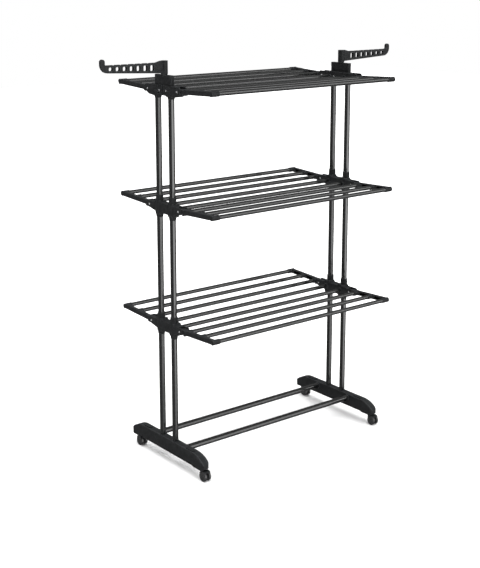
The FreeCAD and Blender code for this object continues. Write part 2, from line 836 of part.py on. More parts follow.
def hanger_plate(label, side):
    """Upright plate with a tongue below and a round seat for the arm's hub on top."""
    body = new_body(label)
    half = s.plate_length / 2
    tongue = s.tongue_length / 2
    thick = s.plate_thickness / 2
    high = s.plate_height
    outline = both_ways([(half, high), (half, 0), (tongue, 0), (tongue, -s.tongue_depth)])
    pad(body, "plate", "YZ", -thick, thick, [outline])
    corner_fillet(body, "corners", s.plate_corner, [(half, high)])
    cone(body, "seat", 0, 0, high - s.seat_root, high + s.seat_height,
         thick, s.hub_diameter / 2)
    depth = s.pivot_seat - s.seat_height
    pocket(body, "pivot_hole", "XY", high - depth, high + s.seat_height,
           [Circle(0, 0, s.pivot_diameter / 2)])
    rise = s.plate_rivet_rise - s.crown_top
    holes = [Circle(end * s.plate_rivet_y, rise, rivet_radius) for _, end in ENDS]
    pocket(body, "rivet_holes", "YZ", -thick, thick, holes)
    place(body, side * s.post_x, 0, plate_base)


def hanger_pivots():
    """The two steel pins that the hanger arms swing on."""
    body = new_body("hanger_pivots")
    low = seat_top - s.pivot_seat
    pins = [Circle(side * s.post_x, 0, s.pivot_diameter / 2) for _, side in SIDES]
    pad(body, "pins", "XY", low, low + s.pivot_length, pins)
    place(body)


def hanger_arm(label, side):
    """Arm with seven rimmed hanger slots and a scalloped top, ending in a round hook."""
    body = new_body(label)
    hub = s.hub_diameter / 2
    reach, heel = s.hanger_reach, s.hook_heel
    slope = sine(s.hanger_slope) / cosine(s.hanger_slope)
    neck = reach - heel + sine(s.hanger_slope) * heel
    neck_low = s.hanger_lift + slope * neck
    bend = neck_low + cosine(s.hanger_slope) * heel
    root_top, tip_top = s.hanger_root, s.hanger_tip
    round_end = s.hook_width / 2
    crest = s.hook_top - round_end
    notch = reach - s.hook_width
    outline = [
        (0, s.hanger_lift), (neck, neck_low), Arc(reach - heel, bend), (reach, bend),
        (reach, crest), Arc(reach - round_end, crest), (notch, crest),
        (notch, tip_top + 3), (notch - 3, tip_top),
        (s.slot_first - s.slot_width, root_top), (hub + s.hub_shoulder, s.hub_height),
        (0, s.hub_height),
    ]
    half = s.hanger_thickness / 2
    pad(body, "blade", "XZ", -half, half, [outline])
    doc.recompute()
    edges = face_edges(body.Shape, "Y", -half) + face_edges(body.Shape, "Y", half)
    fillet(body, "soft_edges", s.hanger_edge, edges)
    pad(body, "hub", "XY", 0, s.hub_height, [Circle(0, 0, hub)])
    rims = []
    slots = []
    notches = []
    for number in range(7):
        x = s.slot_first + s.slot_pitch * number
        along = x / neck
        low = s.hanger_lift + slope * x + s.slot_margin
        top = root_top + (tip_top - root_top) * along
        high = top - s.slot_margin
        left, right = x - s.slot_width / 2, x + s.slot_width / 2
        slots.append(round_box(left, right, low, high, s.slot_corner))
        rim = s.slot_rim
        rims.append(round_box(left - rim, right + rim, low - rim, high + rim,
                              s.slot_corner + rim))
        if number < 6:
            notches.append(Circle(x + s.slot_pitch / 2, top + s.scallop_radius - s.scallop,
                                  s.scallop_radius))
    pad(body, "slot_rims", "XZ", -half - s.rim_proud, half + s.rim_proud, rims)
    pocket(body, "slots", "XZ", -half - s.rim_proud, half + s.rim_proud, slots)
    pocket(body, "scallops", "XZ", -half, half, notches)
    bore = s.pivot_diameter / 2 + s.pivot_slip
    pocket(body, "pivot_bore", "XY", 0, s.pivot_length - s.pivot_seat + 1, [Circle(0, 0, bore)])
    place(body, side * s.post_x, 0, seat_top + s.swivel_gap, turned=side < 0)


for side_name, side in SIDES:
    hanger_plate("hanger_plate_" + side_name, side)
    hanger_arm("hanger_arm_" + side_name, side)
hanger_pivots()


# ---------------------------------------------------------------- feet
# A foot's own frame stands on the floor under the posts with +X towards the middle.
def foot_end_cut(half_width, length):
    """Outline that trims one end of a foot to a half circle in plan."""
    start = length / 2 - half_width
    beyond = length / 2 + 5
    wide = half_width + 5
    loops = []
    for end in (1, -1):
        loop = [
            (half_width, end * start), (wide, end * start), (wide, end * beyond),
            (-wide, end * beyond), (-wide, end * start), (-half_width, end * start),
            Arc(0, end * start, clockwise=end > 0),
        ]
        loops.append(loop)
    return loops


def crown(top, half):
    """The top line of a foot from its back nose to its front nose, at a given height."""
    flat = s.foot_length / 2 - s.nose_length
    centre = top - s.nose_radius
    reach = half - flat
    nose = centre + square_root(s.nose_radius * s.nose_radius - reach * reach)
    return [(-half, nose), Arc(-flat, centre, clockwise=True), (-flat, top),
            (flat, top), Arc(flat, centre, clockwise=True), (half, nose)]


def foot_profile():
    """Side outline of a foot: arched noses over the casters and a raised middle below."""
    half = s.foot_length / 2
    lobe, low = s.foot_lobe, s.foot_underside
    below = both_ways([(half, s.foot_nose_low), (half - 14, lobe), (half - 66, lobe),
                       (half - 76, low)])
    return crown(s.foot_top, half) + below


def foot(label, side):
    body = new_body(label)
    half_width = s.foot_width / 2
    top = s.foot_top
    pad(body, "shell", "YZ", -half_width, half_width, [foot_profile()])
    pocket(body, "round_ends", "XY", 0, top, foot_end_cut(half_width, s.foot_length))
    doc.recompute()
    edges = straight_edges(body.Shape, "y", [(half_width, top), (-half_width, top)])
    fillet(body, "upper_edge", s.foot_edge, edges)
    beyond = s.foot_length / 2 + 1
    for name, low, high in (
            ("outer_groove", s.groove_inset - half_width,
             s.groove_inset + s.groove_width - half_width),
            ("inner_groove", half_width - s.groove_inset - s.groove_width,
             half_width - s.groove_inset)):
        band = crown(top - s.groove_depth, beyond) + [(beyond, top + 5), (-beyond, top + 5)]
        pocket(body, name, "YZ", low, high, [band])
    saddle = s.saddle_width / 2
    saddle_top = top + s.saddle_height
    saddles = [round_box(-saddle, saddle, s.saddle_start, s.saddle_end, saddle - 0.5),
               round_box(-saddle, saddle, -s.saddle_end, -s.saddle_start, saddle - 0.5)]
    pad(body, "saddles", "XY", top - 10, saddle_top, saddles)
    doc.recompute()
    fillet(body, "saddle_edges", s.saddle_edge, face_edges(body.Shape, "Z", saddle_top))
    ring_top = top + s.ring_height
    rings = [Circle(0, end * s.post_y, post_bore + s.ring_wall) for _, end in ENDS]
    pad(body, "post_rings", "XY", top - 10, ring_top, rings)
    doc.recompute()
    fillet(body, "ring_edges", s.ring_edge, face_edges(body.Shape, "Z", ring_top))
    collar = [Circle(end * s.crossbar_y, s.crossbar_z, post_bore + s.crossbar_collar)
              for _, end in ENDS]
    pad(body, "crossbar_collars", "YZ", half_width - 3, half_width + 3, collar)
    width = half_width - s.foot_wall
    ceiling = top - s.groove_depth - s.foot_wall
    post_skin = post_bore + s.foot_wall

    def chamber(low, high):
        return [(-width, low), (width, low), (width, high), (-width, high)]

    chambers = [chamber(post_skin - s.post_y, s.post_y - post_skin)]
    for end in (1, -1):
        for low, high in ((s.post_y + post_skin, s.crossbar_y - post_skin),
                          (s.crossbar_y + post_skin, caster_y - s.stem_socket - 1)):
            chambers.append(chamber(end * low, end * high))
    pocket(body, "chambers", "XY", 0, ceiling - 3, chambers)
    ribs = [chamber(-s.foot_rib / 2, s.foot_rib / 2)]
    span = (caster_y - s.stem_socket - s.crossbar_y - post_skin) / 3
    for end in (1, -1):
        for step in (1, 2):
            y = s.crossbar_y + post_skin + span * step
            ribs.append(chamber(end * (y - s.foot_rib / 2), end * (y + s.foot_rib / 2)))
    pad(body, "ribs", "XY", s.foot_rib_low, ceiling, ribs)
    under = [chamber(end * (s.crossbar_y - post_skin - 1), end * (s.crossbar_y + post_skin + 1))
             for end in (1, -1)]
    pocket(body, "crossbar_chambers", "XY", 0, s.crossbar_z - post_skin, under)
    posts = [Circle(0, end * s.post_y, post_bore) for _, end in ENDS]
    pocket(body, "post_sockets", "XY", s.socket_floor, ring_top, posts)
    bars = [Circle(end * s.crossbar_y, s.crossbar_z, post_bore) for _, end in ENDS]
    pocket(body, "crossbar_sockets", "YZ", half_width - s.crossbar_depth - s.tube_slip,
           half_width + 3, bars)
    face = s.foot_underside + s.swivel_gap
    recesses = [Circle(0, end * caster_y, s.stem_diameter / 2 + 5) for _, end in ENDS]
    pocket(body, "stem_recesses", "XY", 0, face, recesses)
    stems = [Circle(0, end * caster_y, s.stem_socket / 2) for _, end in ENDS]
    pocket(body, "stem_sockets", "XY", 0, face + s.stem_depth, stems)
    place(body, side * s.post_x, 0, 0, turned=side > 0)


for side_name, side in SIDES:
    foot("foot_" + side_name, side)


# ---------------------------------------------------------------- casters
def caster_stems():
    """The four steel stems pressed up into the feet; the hoods swivel on them."""
    body = new_body("caster_stems")
    centres = [(side * s.post_x, end * caster_y) for _, side in SIDES for _, end in ENDS]
    face = s.foot_underside + s.swivel_gap
    lower = [Circle(x, y, s.stem_diameter / 2) for x, y in centres]
    pad(body, "spindles", "XY", face - 12, face + 4, lower)
    upper = [Circle(x, y, s.stem_socket / 2) for x, y in centres]
    pad(body, "shanks", "XY", face, face + s.stem_depth, upper)
    place(body)


def caster_hood(label, side, end):
    """Web between the wheels with a mudguard over them and stub axles."""
    body = new_body(label)
    axle_y, axle_z = -s.caster_trail, s.wheel_radius
    web = s.hood_web / 2
    inner = s.wheel_radius + s.hood_gap
    outer = inner + s.hood_skin
    width = web + s.wheel_gap + s.wheel_width
    top = s.foot_underside
    boss = s.stem_diameter / 2 + s.stem_boss
    pad(body, "disc", "YZ", -web, web, [Circle(axle_y, axle_z, s.hood_core)])
    neck = [(axle_y - 4, axle_z + inner), (-boss, axle_z + outer), (boss, axle_z + outer),
            (boss, axle_z + 12), (axle_y + 10, axle_z - 4), (axle_y - 10, axle_z + 4)]
    pad(body, "neck", "YZ", -web, web, [neck])
    pad(body, "boss", "XY", top - s.stem_bore_depth - 2, top, [Circle(0, 0, boss)])
    near_u, near_v = cosine(s.hood_near), sine(s.hood_near)
    far_u, far_v = cosine(s.hood_far), sine(s.hood_far)
    guard = [
        (axle_y + outer * near_u, axle_z + outer * near_v), Arc(axle_y, axle_z),
        (axle_y + outer * far_u, axle_z + outer * far_v),
        (axle_y + inner * far_u, axle_z + inner * far_v), Arc(axle_y, axle_z, clockwise=True),
        (axle_y + inner * near_u, axle_z + inner * near_v),
    ]
    pad(body, "mudguard", "YZ", -width, width, [guard])
    pad(body, "axles", "YZ", -width, width, [Circle(axle_y, axle_z, s.axle_diameter / 2)])
    bore = s.stem_diameter / 2 + s.pivot_slip
    pocket(body, "stem_bore", "XY", top - s.stem_bore_depth, top, [Circle(0, 0, bore)])
    place(body, side * s.post_x, end * caster_y, 0)


def caster_wheel(label, side, end, half):
    """One wheel of a twin pair; its own axis is X and its outer face looks along half."""
    body = new_body(label)
    radius = s.wheel_radius
    width = s.wheel_width / 2
    bore = s.axle_diameter / 2 + s.pivot_slip
    outline = [
        (-half * width, bore), (half * width, bore), (half * width, bore + 2.5),
        (half * (width - 2.5), bore + 4), (half * (width - 2.5), radius - 5.5),
        (half * width, radius - 4), (half * width, radius - 2), (half * (width - 2), radius),
        (-half * (width - 2), radius), (-half * width, radius - 2),
    ]
    revolve(body, "turned", outline)
    offset = s.hood_web / 2 + s.wheel_gap + s.wheel_width / 2
    place(body, side * s.post_x + half * offset, end * caster_y - s.caster_trail, s.wheel_radius)


caster_stems()
for side_name, side in SIDES:
    for end_name, end in ENDS:
        corner = "%s_%s" % (end_name, side_name)
        caster_hood("caster_hood_" + corner, side, end)
        for half_name, half in (("a", -1), ("b", 1)):
            caster_wheel("caster_wheel_%s_%s" % (corner, half_name), side, end, half)


# ---------------------------------------------------------------- checks and files
doc.recompute()
faults = []
for item in doc.Objects:
    if "Invalid" in item.State or "Error" in item.State:
        faults.append("%s: %s" % (item.Name, item.State))
for body in [item for item in doc.Objects if item.TypeId == "PartDesign::Body"]:
    volume = 0
    for feature in body.Group:
        if not feature.isDerivedFrom("PartDesign::Feature"):
            continue
        if feature.Shape.isNull():
            faults.append("%s in %s is empty" % (feature.Label, body.Label))
            break
        changed = feature.Shape.Volume - volume
        cuts = feature.TypeId == "PartDesign::Pocket"
        if feature.TypeId != "PartDesign::Fillet" and (changed > -1e-6 if cuts else changed < 1e-6):
            faults.append("%s in %s changes nothing" % (feature.Label, body.Label))
        volume = feature.Shape.Volume
for node in nodes:
    if node.Shape.isNull() or not node.Shape.isValid():
        faults.append("%s has no valid shape" % node.Label)
if faults:
    raise RuntimeError("\n".join(faults))

os.makedirs("parts", exist_ok=True)
for node in nodes:
    node.Shape.exportStep(os.path.join("parts", node.Label + ".step"))
print("%d sub-parts written" % len(nodes))
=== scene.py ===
import bpy
import json
import math
from mathutils import Euler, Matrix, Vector


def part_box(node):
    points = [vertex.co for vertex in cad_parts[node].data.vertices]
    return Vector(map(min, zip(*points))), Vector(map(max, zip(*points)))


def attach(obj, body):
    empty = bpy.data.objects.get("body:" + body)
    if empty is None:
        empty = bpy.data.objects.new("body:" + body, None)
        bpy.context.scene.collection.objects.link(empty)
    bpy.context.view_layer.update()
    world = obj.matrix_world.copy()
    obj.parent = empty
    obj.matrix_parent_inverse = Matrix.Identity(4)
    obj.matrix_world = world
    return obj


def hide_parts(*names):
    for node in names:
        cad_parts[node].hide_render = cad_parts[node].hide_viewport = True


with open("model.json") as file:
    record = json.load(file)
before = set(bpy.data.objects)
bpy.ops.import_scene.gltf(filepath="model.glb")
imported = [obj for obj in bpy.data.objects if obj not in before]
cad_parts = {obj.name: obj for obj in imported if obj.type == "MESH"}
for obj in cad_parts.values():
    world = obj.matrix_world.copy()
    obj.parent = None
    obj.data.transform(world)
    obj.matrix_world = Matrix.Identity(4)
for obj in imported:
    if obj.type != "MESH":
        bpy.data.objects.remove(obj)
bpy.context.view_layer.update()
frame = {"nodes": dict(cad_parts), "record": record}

MM = 0.001

# ---------------------------------------------------------------- numbers of the studio
# a long lens a little above head height, in front of the rack and to its left, shifted
# slightly so that the posts stay nearer to parallel
LENS_MM = 72.04
SENSOR_MM = 36
LENS_SHIFT = -0.13
CAMERA_PLACE = (-2.9702, -3.6556, 2.005)
CAMERA_DIP = 12.011      # degrees below level
CAMERA_TURN = -38.189    # degrees from looking straight at the front

# two soft lights in the sky: an azimuth in degrees, the cosines from it between which the
# side edges fade in, the sines of the heights where the foot fades in and where the top
# fades out, and a strength
POST_LIGHT = {"azimuth": -85.0, "sides": (0.62, 0.97), "foot": (-0.45, -0.28),
              "top": (-0.05, 0.1), "strength": 2.4}
ROD_LIGHT = {"azimuth": -48.0, "sides": (0.62, 0.97), "foot": (0.16, 0.27),
             "top": (0.34, 0.46), "strength": 3.3}
AIR_STRENGTH = 0.13
CEILING_STRENGTH = 0.2       # of the air straight overhead
CEILING_EDGE = (0.2, 0.7)    # sines of the heights between which it brightens

LAMP_STRENGTH = 6.0
LAMP_SPREAD = 80         # degrees of sky that the lamp over the floor fills
FLOOR_REACH = 14.0       # metres from the middle of the floor to each side
WHITE = (1, 1, 1, 1)

# ---------------------------------------------------------------- sizes of the rack, in mm
POST_TUBE = (25.0, 0.6)      # diameter and wall, of the crossbars too
ROD_TUBE = (17.5, 0.35)
POST_X = 468                 # from the middle of the rack to its posts
TIERS = (("lower", 583), ("middle", 1073), ("upper", 1540))    # heights of the fixed rods
ENDS = (("front", -1), ("back", 1))
SIDES = (("left", -1), ("right", 1))
HINGE_Y = 100                # from the middle of the rack to the wing hinges
HINGE_RISE = 3               # of a hinge above its tier's fixed rods
WING_ROD_STEPS = (34, 123, 212)    # from the hinge along the wing to its rods
WING_TILT = 2.5              # degrees that an open wing rises towards its outer rod

# diameters of the head and the shank, height of the dome, radius of the rolled lip
RIVET_SIZES = {"Head": 8.6, "Dome": 1.8, "Shank": 5.0, "Roll": 1.2}
BRACKET_OUTER = 13           # from the posts' middle to the bracket's outer face
PLATE_OUTER = 10             # and to the top bracket's recessed outer face
BRACKET_INNER = 22           # and to the bracket's inner face
PLATE_RIVET_Y = 23           # from the middle of the rack
PLATE_RIVET_Z = 1541         # above the floor

EDGE_SOFT = 0.7      # radius that a mould leaves on every edge
EDGE_HIGHLIGHT_REACH = 2.2     # from an edge to where its painted highlight ends

# ---------------------------------------------------------------- fineness of the meshes
TUBE_SIDES = 56
RIVET_SIDES = 28
LIP_SIDES = 12
DOME_RINGS = 8
DOME_SWEEP = 89.5    # degrees from a rivet head's rim to its crown, left a hair open
RIM_ANGLE = 40       # degrees between faces past which an edge is shaded sharp
EDGE_RAYS = 4        # with which a finish feels for a nearby edge

# how a shape stands on its point
UPRIGHT = (0, 0, 0)
ALONG_X = (0, math.radians(90), 0)
AS_MADE = (1, 1, 1)

# a colour Mix node's sockets, which share their names with its other kinds
MIX_FACTOR, MIX_A, MIX_B, MIX_RESULT = 0, 6, 7, 2


def add_node(tree, kind, sockets=None, stops=(), **settings):
    """Adds a node with its settings. Sockets, found by name or number, are linked to a
    node's first output, to an output or to each of a list of them, or set to a value.
    Stops are a colour ramp's positions, each with a grey value or a hex colour."""
    node = tree.nodes.new(kind)
    for name, value in settings.items():
        setattr(node, name, value)
    for key, given in (sockets or {}).items():
        for value in given if isinstance(given, list) else [given]:
            if isinstance(value, bpy.types.Node):
                value = value.outputs[0]
            if isinstance(value, bpy.types.NodeSocket):
                tree.links.new(value, node.inputs[key])
            else:
                node.inputs[key].default_value = value
    for index, (position, value) in enumerate(stops):
        element = node.color_ramp.elements[index]
        element.position = position
        element.color = srgb(value) if isinstance(value, str) else (value, value, value, 1)
    return node


def srgb(code):
    """A hex colour such as #303134 as linear RGBA."""
    channels = [int(code[index:index + 2], 16) / 255 for index in (1, 3, 5)]
    linear = [c / 12.92 if c <= 0.04045 else ((c + 0.055) / 1.055) ** 2.4 for c in channels]
    return (*linear, 1.0)


def place_object(name, data):
    """A new object in the scene, at the origin."""
    made = bpy.data.objects.new(name, data)
    bpy.context.scene.collection.objects.link(made)
    return made


# ---------------------------------------------------------------- camera and light
def make_camera():
    """The camera, looking down at the rack over its front left foot."""
    lens = bpy.data.cameras.new("camera")
    lens.lens = LENS_MM
    lens.sensor_width = SENSOR_MM
    lens.shift_y = LENS_SHIFT
    camera = place_object("camera", lens)
    camera.location = CAMERA_PLACE
    camera.rotation_euler = Euler((math.radians(90 - CAMERA_DIP), 0,
                                   math.radians(CAMERA_TURN)))
    bpy.context.scene.camera = camera


def make_floor_light():
    """A very wide lamp overhead that whitens the floor and leaves no streak on the rack."""
    lamp = bpy.data.lights.new("floor_light", "SUN")
    lamp.energy = LAMP_STRENGTH
    lamp.angle = math.radians(LAMP_SPREAD)
    place_object("floor_light", lamp).visible_glossy = False


def soft_light(tree, direction, height, azimuth, sides, foot, top, strength):
    """A broad soft light that fades at its sides, foot and top."""
    facing = math.radians(azimuth)
    aside = add_node(tree, "ShaderNodeVectorMath",
                     {0: direction, 1: (math.cos(facing), math.sin(facing), 0)},
                     operation="DOT_PRODUCT").outputs["Value"]
    light = strength
    for source, (low, high), (before, after) in ((aside, sides, (0.0, 1.0)),
                                                 (height, foot, (0.0, 1.0)),
                                                 (height, top, (1.0, 0.0))):
        fade = add_node(tree, "ShaderNodeMapRange",
                        {"Value": source, "From Min": low, "From Max": high,
                         "To Min": before, "To Max": after},
                        interpolation_type="SMOOTHSTEP")
        light = add_node(tree, "ShaderNodeMath", {0: light, 1: fade}, operation="MULTIPLY")
    return light


def make_world():
    """A white studio: a low soft light in front streaks the posts, a higher one to its
    right streaks the rods, and the rest of the air is dark, a little less so overhead."""
    scene = bpy.context.scene
    scene.view_settings.view_transform = "Standard"
    world = bpy.data.worlds.new("studio")
    world.use_nodes = True
    tree = world.node_tree
    tree.nodes.clear()
    direction = add_node(tree, "ShaderNodeTexCoord").outputs["Generated"]
    height = add_node(tree, "ShaderNodeSeparateXYZ", {"Vector": direction}).outputs["Z"]
    low, high = CEILING_EDGE
    light = add_node(tree, "ShaderNodeMapRange",
                     {"Value": height, "From Min": low, "From Max": high,
                      "To Min": AIR_STRENGTH, "To Max": CEILING_STRENGTH},
                     interpolation_type="SMOOTHSTEP")
    for sizes in (POST_LIGHT, ROD_LIGHT):
        more = soft_light(tree, direction, height, **sizes)
        light = add_node(tree, "ShaderNodeMath", {0: light, 1: more}, operation="ADD")
    cast = add_node(tree, "ShaderNodeBackground", {"Color": WHITE, "Strength": light})
    seen = add_node(tree, "ShaderNodeBackground", {"Color": WHITE, "Strength": 1.0})
    direct = add_node(tree, "ShaderNodeLightPath").outputs["Is Camera Ray"]
    mixed = add_node(tree, "ShaderNodeMixShader", {0: direct, 1: cast, 2: seen})
    add_node(tree, "ShaderNodeOutputWorld", {"Surface": mixed})
    scene.world = world


# ---------------------------------------------------------------- finishes
def new_finish(name):
    """An empty material for one finish, its tree, and the piece's own coordinates in it."""
    material = bpy.data.materials.new(name)
    material.use_nodes = True
    tree = material.node_tree
    tree.nodes.clear()
    place = add_node(tree, "ShaderNodeTexCoord").outputs["Object"]
    return material, tree, place


def drift(tree, place, stops, patch, detail, roughness=0.5):
    """A tone or gloss that wanders between its stops in patches about so many mm wide."""
    cloud = add_node(tree, "ShaderNodeTexNoise",
                     {"Vector": place, "Scale": 1 / (patch * MM), "Detail": detail,
                      "Roughness": roughness})
    return add_node(tree, "ShaderNodeValToRGB", {"Fac": cloud}, stops)


def relief(tree, place, grain, detail, depth, strength, roughness=0.5, over=None):
    """Bumps about grain mm wide and depth mm high, over a softened surface if one is given."""
    cloud = add_node(tree, "ShaderNodeTexNoise",
                     {"Vector": place, "Scale": 1 / (grain * MM), "Detail": detail,
                      "Roughness": roughness})
    sockets = {"Height": cloud, "Strength": strength, "Distance": depth * MM}
    if over:
        sockets["Normal"] = over
    return add_node(tree, "ShaderNodeBump", sockets)


def lay_surface(tree, sockets):
    """Ends a finish in one surface."""
    surface = add_node(tree, "ShaderNodeBsdfPrincipled", sockets)
    add_node(tree, "ShaderNodeOutputMaterial", {"Surface": surface})


def powder_coat():
    """Polyester powder coat, baked on steel tube: satin black with clear streaks of light,
    broken a little by the orange peel that the powder leaves as it flows."""
    material, tree, place = new_finish("satin_black_powder_coat")
    peel = relief(tree, place, grain=2.2, detail=2, depth=0.1, strength=0.1)
    lay_surface(tree, {
        "Base Color": drift(tree, place, [(0.3, "#151616"), (0.7, "#191a1a")], patch=60,
                            detail=3),
        "Roughness": drift(tree, place, [(0.3, 0.15), (0.7, 0.2)], patch=25, detail=4),
        "IOR": 1.6, "Normal": peel, "Coat Weight": 1.0, "Coat Roughness": 0.1,
        "Coat IOR": 1.6, "Coat Normal": peel})
    return material


def moulded_plastic():
    """Injection-moulded polypropylene: matt black with the cloudy patches of its flow in
    the mould, a spark-eroded grain, and a painted highlight that lightens every edge. The
    grain is 0.2 mm on a real moulding, and is drawn at 0.9 mm so that it shows."""
    material, tree, place = new_finish("moulded_black_polypropylene")
    tone = drift(tree, place, [(0.32, "#1c1d1e"), (0.7, "#28292a")], patch=14, detail=5,
                 roughness=0.6)
    soft = add_node(tree, "ShaderNodeBevel", {"Radius": EDGE_SOFT * MM}, samples=EDGE_RAYS)
    grain = relief(tree, place, grain=0.9, detail=3, depth=0.15, strength=0.35,
                   roughness=0.7, over=soft)
    # painted highlight: near an edge the wide rounding turns away from the flat face, and
    # there the colour is painted lighter
    flat = add_node(tree, "ShaderNodeNewGeometry").outputs["Normal"]
    wide = add_node(tree, "ShaderNodeBevel", {"Radius": EDGE_HIGHLIGHT_REACH * MM}, samples=EDGE_RAYS)
    turned = add_node(tree, "ShaderNodeVectorMath", {0: flat, 1: wide},
                      operation="DOT_PRODUCT").outputs["Value"]
    # painted highlight: the light colour laid along every edge, over the plastic's own tone
    edge = add_node(tree, "ShaderNodeValToRGB", {"Fac": turned},
                    [(0.86, "#4c4e50"), (0.985, "#1d1e1f")])
    tone_and_painted_highlight = add_node(tree, "ShaderNodeMix", {MIX_FACTOR: 1.0, MIX_A: tone, MIX_B: edge},
                      data_type="RGBA", blend_type="LIGHTEN").outputs[MIX_RESULT]
    lay_surface(tree, {
        "Base Color": tone_and_painted_highlight,
        "Roughness": drift(tree, place, [(0.3, 0.46), (0.7, 0.58)], patch=18, detail=4),
        "IOR": 1.49, "Specular IOR Level": 0.25, "Normal": grain})
    return material


def wheel_nylon():
    """Injection-moulded nylon: black, a little shinier than the mouldings, with scuffs from
    the floor, drawn at 1.6 mm, about twice as wide as they are, so that they show."""
    material, tree, place = new_finish("black_nylon_wheel")
    scuffs = relief(tree, place, grain=1.6, detail=4, depth=0.12, strength=0.25,
                    roughness=0.7)
    lay_surface(tree, {
        "Base Color": drift(tree, place, [(0.35, "#232425"), (0.75, "#303132")], patch=9,
                            detail=5),
        "Roughness": drift(tree, place, [(0.3, 0.34), (0.7, 0.46)], patch=6, detail=4),
        "IOR": 1.6, "Normal": scuffs, "Coat Weight": 0.8, "Coat Roughness": 0.27,
        "Coat IOR": 1.7})
    return material


def zinc_rivet():
    """Zinc-plated steel, headed and rolled cold: pale and satin, with faint marks of the
    tool, drawn at 0.8 mm, coarser than they are, so that they show."""
    material, tree, place = new_finish("bright_zinc_rivet")
    lay_surface(tree, {
        "Base Color": srgb("#dfe0e1"), "Metallic": 0.72,
        "Roughness": drift(tree, place, [(0.3, 0.3), (0.7, 0.4)], patch=2, detail=3),
        "Normal": relief(tree, place, grain=0.8, detail=3, depth=0.05, strength=0.1)})
    return material


def plain_steel():
    """Bright drawn steel, as it leaves the die: grey, with a gloss that varies slightly."""
    material, tree, place = new_finish("drawn_steel_pin")
    lay_surface(tree, {
        "Base Color": srgb("#a9abae"), "Metallic": 1.0,
        "Roughness": drift(tree, place, [(0.3, 0.3), (0.7, 0.42)], patch=3, detail=4)})
    return material


def pale_floor():
    """A matt paper sweep, almost white and very slightly uneven in tone."""
    material, tree, place = new_finish("pale_studio_sweep")
    lay_surface(tree, {
        "Base Color": drift(tree, place, [(0.3, "#f4f4f4"), (0.7, "#f7f7f7")], patch=600,
                            detail=2),
        "Roughness": 0.9})
    return material


def dress_nodes():
    """Gives every CAD node the finish that its material slot names."""
    finishes = {
        "black_tube": powder_coat(),
        "black_plastic": moulded_plastic(),
        "wheel_plastic": wheel_nylon(),
        "rivet_steel": zinc_rivet(),
        "pin_steel": plain_steel(),
    }
    slots = {part["node"]: part["material_slot"] for part in frame["record"]["subparts"]}
    for name, node in frame["nodes"].items():
        for slot in node.material_slots:
            slot.material = finishes[slots[name]]
    return finishes


# ---------------------------------------------------------------- what the tubes grow from
def new_tree(name, inputs):
    """A geometry tree with a geometry socket at both ends and the named inputs between."""
    tree = bpy.data.node_groups.new(name, "GeometryNodeTree")
    tree.interface.new_socket("Geometry", in_out="INPUT", socket_type="NodeSocketGeometry")
    for label, kind in inputs:
        tree.interface.new_socket(label, in_out="INPUT", socket_type="NodeSocket" + kind)
    tree.interface.new_socket("Geometry", in_out="OUTPUT", socket_type="NodeSocketGeometry")
    return tree, add_node(tree, "NodeGroupInput").outputs


def end_tree(tree, stood, material):
    """Makes the stood copies real, marks their rims sharp and gives them their finish."""
    real = add_node(tree, "GeometryNodeRealizeInstances", {"Geometry": stood})
    angle = add_node(tree, "GeometryNodeInputMeshEdgeAngle").outputs["Unsigned Angle"]
    rims = add_node(tree, "ShaderNodeMath", {0: angle, 1: math.radians(RIM_ANGLE)},
                    operation="GREATER_THAN")
    faces = add_node(tree, "GeometryNodeSetShadeSmooth", {"Geometry": real}, domain="FACE")
    edges = add_node(tree, "GeometryNodeSetShadeSmooth",
                     {"Geometry": faces, "Selection": rims, "Shade Smooth": False},
                     domain="EDGE")
    done = add_node(tree, "GeometryNodeSetMaterial", {"Geometry": edges, "Material": material})
    add_node(tree, "NodeGroupOutput", {"Geometry": done})


def tube_tree():
    """A drawn tube: its wall, as a rectangle one metre tall, swept round a ring and then
    stretched to the length that its point carries."""
    tree, given = new_tree("drawn_tube", [
        ("Diameter", "Float"), ("Wall", "Float"), ("Turn", "Rotation"),
        ("Material", "Material")])
    across = add_node(tree, "ShaderNodeMath", {0: given["Diameter"], 1: given["Wall"]},
                      operation="SUBTRACT")
    radius = add_node(tree, "ShaderNodeMath", {0: across, 1: 0.5}, operation="MULTIPLY")
    ring = add_node(tree, "GeometryNodeCurvePrimitiveCircle",
                    {"Resolution": TUBE_SIDES, "Radius": radius}).outputs["Curve"]
    wall = add_node(tree, "GeometryNodeCurvePrimitiveQuadrilateral",
                    {"Width": given["Wall"], "Height": 1.0})
    tube = add_node(tree, "GeometryNodeCurveToMesh", {"Curve": ring, "Profile Curve": wall})
    length = add_node(tree, "GeometryNodeInputNamedAttribute", {"Name": "length"},
                      data_type="FLOAT")
    stretch = add_node(tree, "ShaderNodeCombineXYZ", {"X": 1.0, "Y": 1.0, "Z": length})
    stood = add_node(tree, "GeometryNodeInstanceOnPoints",
                     {"Points": given["Geometry"], "Instance": tube,
                      "Rotation": given["Turn"], "Scale": stretch})
    end_tree(tree, stood, given["Material"])
    return tree


